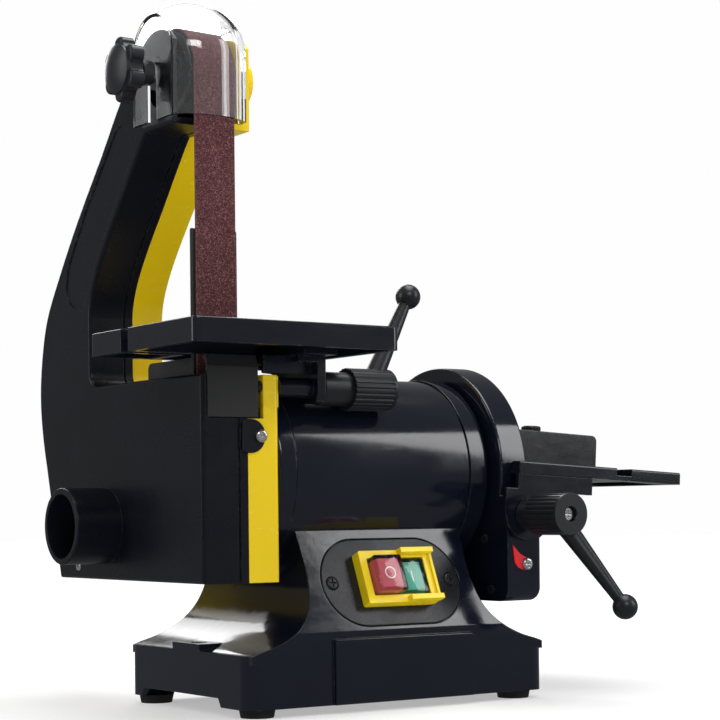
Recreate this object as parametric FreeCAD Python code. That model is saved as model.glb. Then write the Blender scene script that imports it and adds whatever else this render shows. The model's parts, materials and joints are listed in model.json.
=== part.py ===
import FreeCAD, Part
import os
from math import cos, sin, radians, pi, sqrt, atan2, acos
from FreeCAD import Vector as V

os.makedirs("parts", exist_ok=True)

# ---------------------------------------------------------------- driving dimensions (mm)
# Working frame: X along the motor shaft towards the disc, X = 0 on the outer face of the
# belt-side cover; Y to the back, Y = 0 on the front of the belt housing; Z up from the bench.
ORIGIN_X, ORIGIN_Y = 150.43, 60.15   # shift that puts the origin under the middle of the machine

BELT_W, BELT_T = 25.4, 1.2          # abrasive belt
BELT_X0 = 8.7
BELT_Y = 19.5                       # front plane of the belt
WHEEL_X0, WHEEL_X1 = 7.0, 35.8
R_DRIVE, R_TOP, R_IDLER = 36.0, 25.0, 20.0
BELT_GAP = 0.3
AX_Y, AX_Z = 57.0, 135.5            # motor shaft
TOP_Y, TOP_Z = BELT_Y + BELT_T + BELT_GAP + R_TOP, 361.0
IDLER_Y, IDLER_Z = 174.4, 152.0
COVER_X, FRAME_X, PLATE_X = 29.2, 49.6, 45.0
WALL = 3.5
MOTOR_R, BELL_R = 58.0, 58.9
MOTOR_X0, MOTOR_X1, BELL_X1 = 60.6, 182.9, 196.2
SHAFT_R = 6.0
RUN = 0.03                          # radial clearance of a running fit
GUARD_R, GUARD_X0, GUARD_X1 = 67.0, 199.2, 219.1
DISC_R, DISC_X0, DISC_X1 = 62.5, 212.0, 219.8
BASE_X0, BASE_X1, BASE_Y0, BASE_Y1 = 18.6, 227.4, -15.5, 123.5
BASE_Z0, BASE_Z1 = 5.0, 35.0
MID_X, MID_Y = 123.0, 54.0
BOLT_X, BOLT_R = 95.5, 5.0          # bench bolt holes either side of the middle
TAB_X0, TAB_X1, TAB_Y0, TAB_Y1 = -35.6, 93.2, -56.2, 63.3
TAB_Z0, TAB_Z1 = 201.4, 214.4
PIV_Y, PIV_Z = 4.0, 183.5           # belt table tilt axis
DPX, DPZ = 212.0, 110.6             # disc table tilt axis
DT_TILT = 3.13                      # standing tilt of the disc table
PORT_R, PORT_RI, PORT_Y, PORT_Z, PORT_X = 22.6, 19.0, 117.3, 106.3, -28.8

nodes = {}


def box(x0, x1, y0, y1, z0, z1):
    return Part.makeBox(x1 - x0, y1 - y0, z1 - z0, V(x0, y0, z0))


def cylx(r, x0, x1, y, z):
    return Part.makeCylinder(r, x1 - x0, V(x0, y, z), V(1, 0, 0))


def cyly(r, y0, y1, x, z):
    return Part.makeCylinder(r, y1 - y0, V(x, y0, z), V(0, 1, 0))


def cylz(r, z0, z1, x, y):
    return Part.makeCylinder(r, z1 - z0, V(x, y, z0), V(0, 0, 1))


def ringx(ro, ri, x0, x1, y, z):
    return cylx(ro, x0, x1, y, z).cut(cylx(ri, x0 - 1, x1 + 1, y, z))


def conex(r0, r1, x0, x1, y, z):
    return Part.makeCone(r0, r1, x1 - x0, V(x0, y, z), V(1, 0, 0))


def wire(pts):
    return Part.makePolygon(list(pts) + [pts[0]])


def prism_yz(pts, x0, x1):
    return Part.Face(wire([V(x0, y, z) for y, z in pts])).extrude(V(x1 - x0, 0, 0))


def prism_xz(pts, y0, y1):
    return Part.Face(wire([V(x, y0, z) for x, z in pts])).extrude(V(0, y1 - y0, 0))


def prism_xy(pts, z0, z1):
    return Part.Face(wire([V(x, y, z0) for x, y in pts])).extrude(V(0, 0, z1 - z0))


def fillet(s, r, test):
    es = [e for e in s.Edges if test(e)]
    if not es:
        return s
    try:
        f = s.makeFillet(r, es)
        if f.isValid() and f.Volume > 0:
            return f
    except Exception:
        pass
    for e in es:                     # one edge at a time when the set fails together
        try:
            f = s.makeFillet(r, [e])
            if f.isValid():
                return f
        except Exception:
            continue
    return s


def vertical(e):
    b = e.BoundBox
    return b.XLength < 1e-6 and b.YLength < 1e-6 and b.ZLength > 0.5


def along_x(e):
    b = e.BoundBox
    return b.YLength < 1e-6 and b.ZLength < 1e-6 and b.XLength > 0.5


def along_y(e):
    b = e.BoundBox
    return b.XLength < 1e-6 and b.ZLength < 1e-6 and b.YLength > 0.5


def rbox(x0, x1, y0, y1, z0, z1, r):
    return fillet(box(x0, x1, y0, y1, z0, z1), r, vertical)


def stadium(cx, cy, lx, ly, z0, z1):
    r = ly / 2.0
    h = lx / 2.0 - r
    b = box(cx - h, cx + h, cy - r, cy + r, z0, z1)
    return b.fuse([cylz(r, z0, z1, cx - h, cy), cylz(r, z0, z1, cx + h, cy)]).removeSplitter()


def solids(s):
    return Part.makeCompound([x for x in s.Solids])


def add(name, shape):
    nodes[name] = shape


# ---------------------------------------------------------------- base casting
# flank half-widths of the pedestal at each height, flaring out to the base
flank = [(108, 58.6), (100, 58.0), (90, 57.2), (78, 57.0), (70, 57.9), (61, 60.2), (55, 63.4),
         (50, 67.6), (46, 72.6), (42, 80.0), (38.5, 89.0), (36, 98.0), (34.5, 102.0)]


def spline3(pts):
    c = Part.BSplineCurve()
    c.interpolate(pts)
    return c.toShape()


def flank_prism(y0, y1):
    l = [V(MID_X - w, y0, z) for z, w in flank]
    r = [V(MID_X + w, y0, z) for z, w in flank]
    zb = 20.0
    es = [spline3(l), Part.makeLine(l[-1], V(l[-1].x, y0, zb)),
          Part.makeLine(V(l[-1].x, y0, zb), V(r[-1].x, y0, zb)),
          Part.makeLine(V(r[-1].x, y0, zb), r[-1]), spline3(r), Part.makeLine(r[0], l[0])]
    w = Part.Wire(Part.__sortEdges__(es))
    return Part.Face(w).extrude(V(0, y1 - y0, 0))


SLOPE = 0.42
FACE_Y, FACE_Z = 9.0, 103.0          # a point on the sloping front of the pedestal


def face_y(z):
    return FACE_Y - (FACE_Z - z) * SLOPE


front = [(face_y(108), 108.0), (face_y(46.0), 46.0), (BASE_Y0, 40.0), (BASE_Y0, 20.0)]
back = [(2 * MID_Y - y, z) for y, z in front][::-1]
ped = flank_prism(BASE_Y0 - 3, BASE_Y1 + 3).common(prism_yz(front + back, 10, 236))
ped = ped.cut(box(10, 236, -30, 140, 19, 30))
slab = rbox(BASE_X0, BASE_X1, BASE_Y0, BASE_Y1, BASE_Z0, BASE_Z1, 9.0)
mid_panel = prism_xz([(74.5, BASE_Z0), (171.5, BASE_Z0), (176.0, 36.5), (170.5, 42.0), (74.5, 42.0)],
                     BASE_Y0 - 2.6, BASE_Y0 + 6)
mid_panel = fillet(mid_panel, 1.0, lambda e: abs(e.BoundBox.YMin - (BASE_Y0 - 2.6)) < 1e-6 and e.BoundBox.YLength < 1e-6)
base = slab.fuse([ped, mid_panel])
for s in (-1, 1):                    # bench-bolt bosses, flush with the ends
    cx = MID_X + s * BOLT_X
    edge = BASE_X0 if s < 0 else BASE_X1
    b = cylz(15.5, 30, 39, cx, MID_Y).fuse(box(min(cx, edge), max(cx, edge), MID_Y - 15.5, MID_Y + 15.5, 30, 39))
    b = b.common(box(BASE_X0, BASE_X1, 0, 120, 30, 39))
    base = base.fuse(b)
base = base.removeSplitter()
# hollow inside
lower = box(BASE_X0 + 6, BASE_X1 - 6, BASE_Y0 + 6, BASE_Y1 - 6, 4, 29)
upper = prism_yz([(-9, 28), (-8, 46), (7.5, 84), (20, 84), (42, 71.5), (66, 71.5), (86, 78.5), (98, 78.5), (114, 46), (116, 28)],
                 MID_X - 50, MID_X + 50)
inner = lower.fuse(upper)
posts = []
FEET = [(32.5, -1.5), (213.5, -1.5), (31.0, 112.5), (215.0, 112.5)]
for (x, y) in FEET:
    posts.append(cylz(10.5, 4, 29.5, x, y))
for s in (-1, 1):
    posts.append(cylz(10.0, 4, 29.5, MID_X + s * BOLT_X, MID_Y))
PLATE_SCREWS = [(60.0, -1.0), (186.0, -1.0), (60.0, 109.0), (186.0, 109.0)]
for (x, y) in PLATE_SCREWS:
    posts.append(cylz(5.0, 12.0, 29.5, x, y))
inner = inner.cut(Part.makeCompound(posts))
base = base.cut(inner)
base = base.cut(cylx(MOTOR_R + 0.05, 0, 240, AX_Y, AX_Z))
base = base.cut(cylx(BELL_R + 0.05, MOTOR_X1 - 0.05, 240, AX_Y, AX_Z))
for x in (0.0, 200.0):               # low arches in both ends
    base = base.cut(prism_yz([(14.0, 4.0), (17.6, 10.0), (105.0, 10.0), (108.6, 4.0)], x, x + 46.0))
for s in (-1, 1):
    base = base.cut(cylz(BOLT_R, 0, 50, MID_X + s * BOLT_X, MID_Y))
for (x, y) in FEET:
    base = base.cut(cylz(2.0, 4, 22, x, y))
for (x, y) in PLATE_SCREWS:
    base = base.cut(cylz(1.6, 11, 24, x, y))
# sloping-face frame: local x along X, local y up the face, local z out of the face
PH = 90.0 - atan2(SLOPE, 1.0) * 180 / pi
FC_Z = 72.65
FC = V(MID_X, face_y(FC_Z), FC_Z)


def onface(s):
    s = s.copy()
    s.Placement = FreeCAD.Placement(FC, FreeCAD.Rotation(V(1, 0, 0), PH))
    return s


base = base.cut(onface(stadium(0, 0, 97.5, 54.0, -2.0, 20)))
base = base.cut(onface(rbox(-23.6, 25.6, -13.6, 15.0, -30, 5, 2)))
for sx in (-41.5, 41.5):
    base = base.cut(onface(cylz(1.6, -14, 1, sx, 0)))
base = base.cut(cyly(8.0, 100, 130, 165.0, 22.0))    # supply inlet hole in the rear wall
base = base.removeSplitter()
add("base_casting", base)

bp = rbox(BASE_X0 + 6.4, BASE_X1 - 6.4, BASE_Y0 + 6.4, BASE_Y1 - 6.4, 10.5, 12.0, 3.0)
for (x, y) in FEET:
    bp = bp.cut(cylz(11.0, 9, 13, x, y))
for s in (-1, 1):
    bp = bp.cut(cylz(10.5, 9, 13, MID_X + s * BOLT_X, MID_Y))
for (x, y) in PLATE_SCREWS:
    bp = bp.cut(cylz(1.8, 9, 13, x, y))
add("bottom_plate", bp)


def foot(x, y):
    f = Part.makeCone(9.3, 10.3, 5.0, V(x, y, 0), V(0, 0, 1))
    f = f.cut(cylz(4.4, -1, 2.4, x, y)).cut(cylz(2.1, -1, 6, x, y))
    return f


add("rubber_feet", Part.makeCompound([foot(x, y) for x, y in FEET]))
add("foot_screws", Part.makeCompound([cylz(4.0, 0.9, 2.4, x, y).fuse(cylz(1.9, 2.3, 20, x, y)) for x, y in FEET]))
inlet = cyly(7.7, 112.0, 123.5, 165.0, 22.0).fuse(cyly(10.5, 123.6, 128.5, 165.0, 22.0)).fuse(cyly(7.7, 123.4, 124, 165, 22))
inlet = inlet.fuse(cyly(10.5, 115.0, 117.4, 165.0, 22.0)).cut(cyly(3.8, 100, 140, 165.0, 22.0))
inlet = inlet.removeSplitter().cut(base).cut(bp)
add("supply_inlet", Part.makeCompound([max(inlet.Solids, key=lambda q: q.Volume)]))

# ---------------------------------------------------------------- switch
plate = stadium(0, 0, 96.5, 53.0, -2.0, 0.2)
plate = plate.cut(rbox(-23.6, 25.6, -13.6, 15.0, -5, 5, 2))
for sx in (-41.5, 41.5):
    plate = plate.cut(cylz(1.7, -5, 5, sx, 0)).cut(cylz(4.2, -0.9, 5, sx, 0))
plate = fillet(plate, 0.6, lambda e: abs(e.BoundBox.ZMin - 0.2) < 1e-6 and e.BoundBox.ZLength < 1e-6 and max(e.BoundBox.XLength, e.BoundBox.YLength) > 25)
add("switch_plate", onface(plate))


def pan_screw(cx, cy, zh, r, hh, rs, ls):
    """cross-recessed pan head standing on zh, shank going down"""
    h = cylz(r, zh, zh + hh, cx, cy)
    h = fillet(h, hh * 0.7, lambda e: abs(e.BoundBox.ZMin - (zh + hh)) < 1e-6 and e.BoundBox.ZLength < 1e-6)
    w = r * 0.26
    h = h.cut(box(cx - r * 0.6, cx + r * 0.6, cy - w / 2, cy + w / 2, zh + hh * 0.45, zh + hh + 1))
    h = h.cut(box(cx - w / 2, cx + w / 2, cy - r * 0.6, cy + r * 0.6, zh + hh * 0.45, zh + hh + 1))
    return h.fuse(cylz(rs, zh - ls, zh + 0.1, cx, cy)).removeSplitter()


add("switch_plate_screws", Part.makeCompound([onface(pan_screw(sx, 0, -0.9, 3.9, 1.9, 1.5, 11)) for sx in (-41.5, 41.5)]))
# bezel: rim round the buttons, with a higher guard on the right-hand half
bez = box(-24, 26, -15.3, 16.7, 0.3, 7.1)
bez = fillet(bez, 1.2, lambda e: vertical(e))
bez = bez.fuse(prism_xy([(3.0, -15.3), (23.5, -15.3), (26.0, -15.3), (26.0, -12.3), (3.0, -12.3)], 7.0, 11.6))
bez = bez.fuse(prism_xy([(3.0, 13.7), (26.0, 13.7), (26.0, 16.7), (3.0, 16.7)], 7.0, 11.6))
bez = bez.fuse(box(24.2, 26.0, -13, 14, 7.0, 8.6))
bez = bez.fuse(box(-23.2, 25.2, -13.2, 14.6, -5.0, 0.4))
bez = bez.cut(box(-19.2, 20.4, -10.6, 12.0, -6, 20))
add("switch_bezel", onface(bez.removeSplitter()))
sw = box(-22.0, 23.6, -12.6, 14.0, -26.0, -5.2).cut(box(-19.2, 20.4, -10.6, 12.0, -13.0, 0))
sw = sw.fuse([box(x - 0.4, x + 0.4, y - 3, y + 3, -33, -25.9) for x in (-12, 14) for y in (-6, 8)])
add("switch_body", onface(sw.removeSplitter()))


def button(x0, x1, top):
    b = box(x0, x1, -10.2, 11.6, -6.0, top)
    b = fillet(b, 1.0, lambda e: abs(e.BoundBox.ZMin - top) < 1e-6 or vertical(e))
    b = b.fuse(box((x0 + x1) / 2 - 3, (x0 + x1) / 2 + 3, -3, 3, -8.0, -5.9))
    return b


add("stop_button", onface(button(-18.9, 0.3, 14.5)))
add("start_button", onface(button(0.9, 20.1, 7.6)))

# ---------------------------------------------------------------- motor
shell = ringx(MOTOR_R, 54.5, MOTOR_X0 + 0.3, MOTOR_X1 - 0.3, AX_Y, AX_Z)
add("motor_shell", shell)
bl = cylx(MOTOR_R, FRAME_X + 0.2, MOTOR_X0, AX_Y, AX_Z).fuse(cylx(54.4, MOTOR_X0 - 0.1, MOTOR_X0 + 6, AX_Y, AX_Z))
bl = bl.cut(cylx(49.0, FRAME_X + 5, 80, AX_Y, AX_Z))
bl = bl.fuse(cylx(21.0, FRAME_X + 4.9, MOTOR_X0 + 10, AX_Y, AX_Z))
bl = bl.cut(cylx(16.02, MOTOR_X0 - 0.5, 90, AX_Y, AX_Z)).cut(cylx(9.0, 40, 90, AX_Y, AX_Z))
bl = fillet(bl, 2.0, lambda e: abs(e.BoundBox.XMin - (FRAME_X + 0.2)) < 1e-6 and e.BoundBox.XLength < 1e-6 and e.BoundBox.YLength > 100)
add("end_bell_left", bl.removeSplitter())
br = cylx(BELL_R, MOTOR_X1, BELL_X1, AX_Y, AX_Z)
br = fillet(br, 2.0, lambda e: abs(e.BoundBox.XMin - BELL_X1) < 1e-6 and e.BoundBox.XLength < 1e-6)
br = br.fuse(cylx(54.4, MOTOR_X1 - 6, MOTOR_X1 + 0.1, AX_Y, AX_Z))
br = br.cut(cylx(49.0, 150, BELL_X1 - 5, AX_Y, AX_Z))
br = br.fuse(cylx(21.0, MOTOR_X1 - 8, BELL_X1 - 4.9, AX_Y, AX_Z))
br = br.cut(cylx(16.02, 150, MOTOR_X1 + 3, AX_Y, AX_Z)).cut(cylx(9.0, 150, 220, AX_Y, AX_Z))
add("end_bell_right", br.removeSplitter())
add("stator_core", ringx(54.4, 31.5, 88, 152, AX_Y, AX_Z))


def coil(x0, x1):
    c = ringx(48.0, 34.0, x0, x1, AX_Y, AX_Z)
    return fillet(c, 4.0, lambda e: e.BoundBox.XLength < 1e-6 and e.BoundBox.YLength > 60)


add("stator_windings", Part.makeCompound([coil(73, 87.9), coil(152.1, 167)]))
BRG_L, BRG_R = MOTOR_X0 - 0.5, MOTOR_X1 + 3 - 10.0
add("motor_bearings", Part.makeCompound([ringx(16.0, SHAFT_R + RUN, BRG_L, BRG_L + 10, AX_Y, AX_Z),
                                         ringx(16.0, SHAFT_R + RUN, BRG_R, BRG_R + 10, AX_Y, AX_Z)]))
shaft = cylx(SHAFT_R, 4.5, 211.9, AX_Y, AX_Z)
shaft = shaft.fuse(cylx(9.5, 80, 87.5, AX_Y, AX_Z)).fuse(cylx(9.5, 148.5, 160, AX_Y, AX_Z)).fuse(cylx(9.5, 4.4, 6.9, AX_Y, AX_Z))
add("rotor_shaft", shaft)
rc = ringx(30.8, SHAFT_R + 0.01, 87.6, 148.4, AX_Y, AX_Z)
rc = rc.fuse([ringx(28.0, 20.0, 82, 87.7, AX_Y, AX_Z), ringx(28.0, 20.0, 148.3, 154, AX_Y, AX_Z)])
add("rotor_core", rc.removeSplitter())

# ---------------------------------------------------------------- belt wheels


def crowned(r, y, z, bore, hub_r, web=True):
    m = (WHEEL_X0 + WHEEL_X1) / 2
    w = conex(r - 0.5, r, WHEEL_X0, m, y, z).fuse(conex(r, r - 0.5, m, WHEEL_X1, y, z))
    if web:
        for x0, x1 in ((WHEEL_X0 - 1, m - 3), (m + 3, WHEEL_X1 + 1)):
            w = w.cut(ringx(r - 4.5, hub_r, x0, x1, y, z))
    return w.cut(cylx(bore, 0, 60, y, z)).removeSplitter()


dw = crowned(R_DRIVE, AX_Y, AX_Z, SHAFT_R + 0.01, 12.0)
add("drive_wheel", dw)
add("top_wheel", crowned(R_TOP, TOP_Y, TOP_Z, 11.02, 14.5))
add("top_wheel_bearings", Part.makeCompound([ringx(11.0, 5.0 + RUN, 8.5, 15.5, TOP_Y, TOP_Z),
                                             ringx(11.0, 5.0 + RUN, 27.3, 34.3, TOP_Y, TOP_Z)]))
add("idler_wheel", crowned(R_IDLER, IDLER_Y, IDLER_Z, 11.02, 14.0, web=False))
add("idler_bearings", Part.makeCompound([ringx(11.0, 5.0 + RUN, 8.5, 15.5, IDLER_Y, IDLER_Z),
                                         ringx(11.0, 5.0 + RUN, 27.3, 34.3, IDLER_Y, IDLER_Z)]))
ia = cylx(5.0, 6.2, 45.0, IDLER_Y, IDLER_Z).fuse(cylx(8.0, 4.4, 6.3, IDLER_Y, IDLER_Z))
ia = ia.fuse(cylx(8.0, 36.4, 38.2, IDLER_Y, IDLER_Z))
add("idler_axle", ia)

# belt loop: three arcs and the straight runs between them


def loop_face(off, x):
    C = [(TOP_Y, TOP_Z, R_TOP + off), (AX_Y, AX_Z, R_DRIVE + off), (IDLER_Y, IDLER_Z, R_IDLER + off)]
    C[1] = (AX_Y, AX_Z, AX_Y - (BELT_Y + BELT_T) + (off - BELT_GAP))
    n = 3
    ang, ends = [], []
    for i in range(n):
        a, b = C[i], C[(i + 1) % n]
        dy, dz = b[0] - a[0], b[1] - a[1]
        D = sqrt(dy * dy + dz * dz)
        th = atan2(dz, dy)
        al = acos((a[2] - b[2]) / D)
        ang.append(th - al)
    es = []
    for i in range(n):
        a, b = C[i], C[(i + 1) % n]
        q = ang[i]
        es.append(Part.makeLine(V(x, a[0] + a[2] * cos(q), a[1] + a[2] * sin(q)),
                                V(x, b[0] + b[2] * cos(q), b[1] + b[2] * sin(q))))
        q0, q1 = ang[i - 1], ang[i]
        while q1 < q0:
            q1 += 2 * pi
        qm = (q0 + q1) / 2
        P = [V(x, a[0] + a[2] * cos(t), a[1] + a[2] * sin(t)) for t in (q0, qm, q1)]
        es.append(Part.Arc(*P).toShape())
    w = Part.Wire(Part.__sortEdges__(es))
    return Part.Face(w), w.Length


fo, lo = loop_face(BELT_GAP + BELT_T, BELT_X0)
fi, li = loop_face(BELT_GAP, BELT_X0)
print("belt loop length", round((lo + li) / 2, 1))
belt = fo.extrude(V(BELT_W, 0, 0)).cut(fi.extrude(V(BELT_W, 0, 0)))
add("abrasive_belt", belt)

# ---------------------------------------------------------------- arm outline
HEAD_Z = 331.0
back_curve = [(62.0, 381.0), (78.5, 368.3), (93.1, 354.7), (114.4, 331.2), (139.5, 304.8), (162.1, 279.8), (182.3, 255.0),
              (196.2, 234.8), (203.5, 212.2), (206.5, 189.5), (204.6, 167.6), (198.4, 142.8)]
throat_curve = [(135.5, 232.0), (132.8, 243.8), (126.0, 256.6), (115.5, 270.6), (94.6, 294.2), (75.0, 317.0), (62.0, HEAD_Z)]


def arm_wire(x):
    p = lambda y, z: V(x, y, z)
    e = [Part.makeLine(p(0, 74.3), p(0, 190.0)), Part.makeLine(p(0, 190.0), p(127.0, 190.0))]
    e.append(Part.Arc(p(127.0, 190.0), p(133.0, 192.4), p(135.5, 198.5)).toShape())
    e.append(Part.makeLine(p(135.5, 198.5), p(135.5, 232.0)))
    c = Part.BSplineCurve(); c.interpolate([p(*q) for q in throat_curve]); e.append(c.toShape())
    e.append(Part.makeLine(p(62.0, HEAD_Z), p(29.0, HEAD_Z)))
    e.append(Part.makeLine(p(29.0, HEAD_Z), p(29.0, 378.0)))
    e.append(Part.Arc(p(29.0, 378.0), p(45.5, 386.3), p(62.0, 381.0)).toShape())
    c = Part.BSplineCurve(); c.interpolate([p(*q) for q in back_curve]); e.append(c.toShape())
    e.append(Part.makeLine(p(198.4, 142.8), p(179.3, 74.3)))
    e.append(Part.makeLine(p(179.3, 74.3), p(0, 74.3)))
    return Part.Wire(Part.__sortEdges__(e))


AW = arm_wire(0.0)
AF = Part.Face(AW)
INNER = AF.makeOffset2D(-WALL, join=0, fill=False, openResult=False)


def plain_face(shape):
    # the same outline with its offset curves redrawn as plain splines
    es = []
    for e in shape.Wires[0].OrderedEdges:
        if type(e.Curve).__name__ in ("Line", "Circle"):
            es.append(e.copy())
        else:
            c = Part.BSplineCurve()
            c.interpolate(e.discretize(max(6, int(e.Length / 6))))
            es.append(c.toShape())
    return Part.Face(Part.Wire(Part.__sortEdges__(es)))


INF = plain_face(INNER)
print("arm faces", round(AF.Area), round(INF.Area))


def slab_x(face, x0, x1):
    f = face.copy()
    f.translate(V(x0, 0, 0))
    return f.extrude(V(x1 - x0, 0, 0))


head_open = [(20, 334.5), (66, 334.5), (86, 350), (104, 350), (104, 400), (20, 400)]

# black side cover with the dust port
cov = slab_x(AF, 0, COVER_X)
cov = fillet(cov, 2.2, lambda e: abs(e.BoundBox.XMin) < 1e-6 and e.BoundBox.XLength < 1e-6)
cov = cov.cut(slab_x(INF, 3.0, COVER_X + 1))
cov = cov.cut(prism_yz(head_open, 3.0, 60))
# room under the top wheel for its travel
wheel_room = cylx(25.9, 6.5, 37.0, TOP_Y, TOP_Z - 2.4)
cov = cov.cut(wheel_room)
# groove that marks the rim strip round the cover
RF = AF.makeOffset2D(-1.0, join=0, fill=False, openResult=False)
RF = plain_face(RF)
rim = slab_x(AF, 22.8, 24.2).cut(slab_x(RF, 22.0, 25.0))
cov = cov.cut(rim)
# openings: belt passage in the top and the front
cov = cov.cut(box(3.0, 60, -5, 31.0, 165.5, 195))
cov = cov.cut(box(3.0, 60, 0.5 + WALL, 31.0, 180, 195))
# shallow recess on the arm
rec = [(92, 341), (99, 338), (139, 297), (164.5, 265), (167.5, 251), (163, 243), (156, 238.5), (142, 236.5),
       (141, 243), (133, 257), (120, 273), (100, 296), (82, 317), (78, 326), (84, 336)]
cov = cov.cut(prism_yz(rec, -1, 0.7))
# slot for the top axle barrel
cov = cov.cut(box(-1, 4, TOP_Y - 9.8, TOP_Y + 9.8, TOP_Z - 8.5, TOP_Z)).cut(cylx(9.8, -1, 4, TOP_Y, TOP_Z)).cut(cylx(9.8, -1, 4, TOP_Y, TOP_Z - 8.5))
port = cylx(PORT_R, PORT_X, 3.0, PORT_Y, PORT_Z)
port = fillet(port, 1.0, lambda e: abs(e.BoundBox.XMin - PORT_X) < 1e-6 and e.BoundBox.XLength < 1e-6)
cov = cov.fuse(port)
cov = cov.cut(cylx(PORT_RI, PORT_X - 1, 3.2, PORT_Y, PORT_Z))
lug = cyly(9.5, -2.0, 0.0, 30.0, 155.7).cut(box(0, 24.6, -5, 5, 140, 170))
lug = lug.fuse(box(24.8, COVER_X - 0.2, -0.4, 1.0, 150.0, 161.0))
lug = lug.cut(cyly(1.7, -5, 5, 36.4, 155.7))
cov = cov.fuse(lug)
for (y, z) in ((153.9, 82.0),):      # lower cover screw post
    cov = cov.fuse(cylx(6.0, 2.9, COVER_X - 0.1, y, z).common(slab_x(AF, 0, 40)))
    cov = cov.cut(cylx(1.8, -1, 40, y, z)).cut(cylx(3.6, -1, 1.2, y, z))
add("side_cover", cov.removeSplitter())

# yellow arm frame
fr = slab_x(AF, COVER_X, FRAME_X)
fr = fillet(fr, 2.5, lambda e: abs(e.BoundBox.XMin - FRAME_X) < 1e-6 and e.BoundBox.XLength < 1e-6)
fr = fr.cut(slab_x(INF, COVER_X - 1, PLATE_X))
fr = fr.cut(prism_yz(head_open, 20, PLATE_X)).cut(wheel_room)
fr = fr.cut(box(20, 39.4, -5, 31.0, 165.5, 195))
# corner block that carries the table pivot bolt, idler boss, spring seat, cover screw posts
fr = fr.fuse(box(40.0, FRAME_X, 0.6, 14.0, 172.0, 189.4))
fr = fr.fuse(cylx(11.0, 38.3, PLATE_X + 0.1, IDLER_Y, IDLER_Z))
fr = fr.fuse(box(36.0, PLATE_X + 0.1, 88.0, 98.0, 312.5, 315.5))
fr = fr.fuse(cylx(6.0, COVER_X + 0.1, PLATE_X + 0.1, 153.9, 82.0).common(slab_x(AF, 20, 60)))
fr = fr.fuse(box(30.0, 43.0, 0.6, 12.0, 149.0, 162.4))
fr = fr.cut(cylx(9.0, 30, 60, AX_Y, AX_Z))
fr = fr.cut(cylx(5.01, 30, 45.02, IDLER_Y, IDLER_Z))
fr = fr.cut(cylx(3.22, 30, 60, PIV_Y, PIV_Z))
fr = fr.cut(cylx(1.6, 20, 44, 153.9, 82.0))
fr = fr.cut(cyly(1.6, -1, 9, 36.4, 155.7)).cut(cylz(1.95, 183, 192, 38.0, 62.0))
# domed boss over the top axle end
boss = cylx(13.7, FRAME_X - 0.2, 55.0, TOP_Y, TOP_Z)
boss = fillet(boss, 0.8, lambda e: abs(e.BoundBox.XMin - 55.0) < 1e-6 and e.BoundBox.XLength < 1e-6)
rs = 18.0
dome = Part.makeSphere(rs, V(59.2 - rs, TOP_Y, TOP_Z)).common(cylx(12.2, 54.5, 62, TOP_Y, TOP_Z))
fr = fr.fuse([boss, dome])
add("arm_frame", fr.removeSplitter())
COVER_SCREWS = ([
    # front lug screw, axis along Y; lower screw, axis along X
    (lambda s: (s.rotate(V(0, 0, 0), V(1, 0, 0), 90), s.translate(V(36.4, 0, 155.7)), s)[2])(pan_screw(0, 0, 2.0, 3.7, 2.0, 1.5, 9)),
    (lambda s: (s.rotate(V(0, 0, 0), V(0, 1, 0), -90), s.translate(V(0, 153.9, 82.0)), s)[2])(pan_screw(0, 0, -1.2, 3.3, 1.6, 1.5, 38)),
])

# bent guard plate in front of the belt under the table
gp = prism_yz([(0.4, 166.0), (0.4, 194.0), (2.4, 200.6), (3.9, 200.2), (1.9, 193.6), (1.9, 166.0)], 4.0, 36.3)
add("belt_guard_plate", gp)

# platen behind the belt, and its bracket from the throat wall
pl = box(7.2, 35.6, BELT_Y + BELT_T + 0.3, BELT_Y + BELT_T + 3.3, 188.0, 272.0)
pl = fillet(pl, 1.2, lambda e: along_x(e) and e.BoundBox.ZMin > 271)
PY = BELT_Y + BELT_T + 3.3
pl = pl.cut(cyly(2.0, 10, 40, 21.4, 195.0))
add("platen", pl)
pb = box(8.0, 44.0, PY, PY + 3.0, 190.3, 200.0)
pb = pb.fuse(box(8.0, 44.0, PY, 76.0, 190.3, 193.3)).fuse(box(8.0, 11.0, PY, 76.0, 190.3, 200.0))
pb = fillet(pb.removeSplitter(), 4.0, lambda e: abs(e.BoundBox.YMin - 76.0) < 1e-6 and (e.BoundBox.XLength > 2.9 and e.BoundBox.XLength < 3.1) and e.BoundBox.ZMin > 199)
pb = pb.cut(cyly(2.0, 10, 40, 21.4, 195.0)).cut(cylz(2.0, 180, 200, 38.0, 62.0)).cut(cyly(4.0, PY + 3.0, PY + 6.5, 21.4, 195.0))
add("platen_bracket", Part.makeCompound([max(pb.removeSplitter().Solids, key=lambda s: s.Volume)]))
pbs = cyly(1.9, BELT_Y + BELT_T + 0.5, PY + 5.5, 21.4, 195.0).fuse(cyly(3.6, PY + 3.0, PY + 5.6, 21.4, 195.0))
pbs2 = cylz(3.6, 193.3, 195.9, 38.0, 62.0).fuse(cylz(1.9, 184.0, 193.4, 38.0, 62.0))
add("platen_bolts", Part.makeCompound([pbs, pbs2]))

# ---------------------------------------------------------------- top wheel carrier
tb = prism_yz([(36.0, 350.0), (36.0, 366.0), (42.0, 373.0), (50.0, 373.0), (62.0, 360.0), (88.0, 344.0), (98.0, 344.0), (98.0, 336.5),
               (80.0, 336.5), (56.0, 344.0)], 41.2, 44.7)
tb = tb.fuse(box(36.0, 44.7, 88.0, 98.0, 336.5, 339.5))
tb = tb.cut(cylx(5.01, 30, 60, TOP_Y, TOP_Z))
add("tension_bracket", tb.removeSplitter())
ta = cylx(5.0, -17.0, 44.7, TOP_Y, TOP_Z).fuse(cylx(8.0, 37.0, 41.1, TOP_Y, TOP_Z))
add("top_axle", ta)
add("axle_barrel", ringx(9.2, 5.01, -1.6, 6.8, TOP_Y, TOP_Z))
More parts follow.
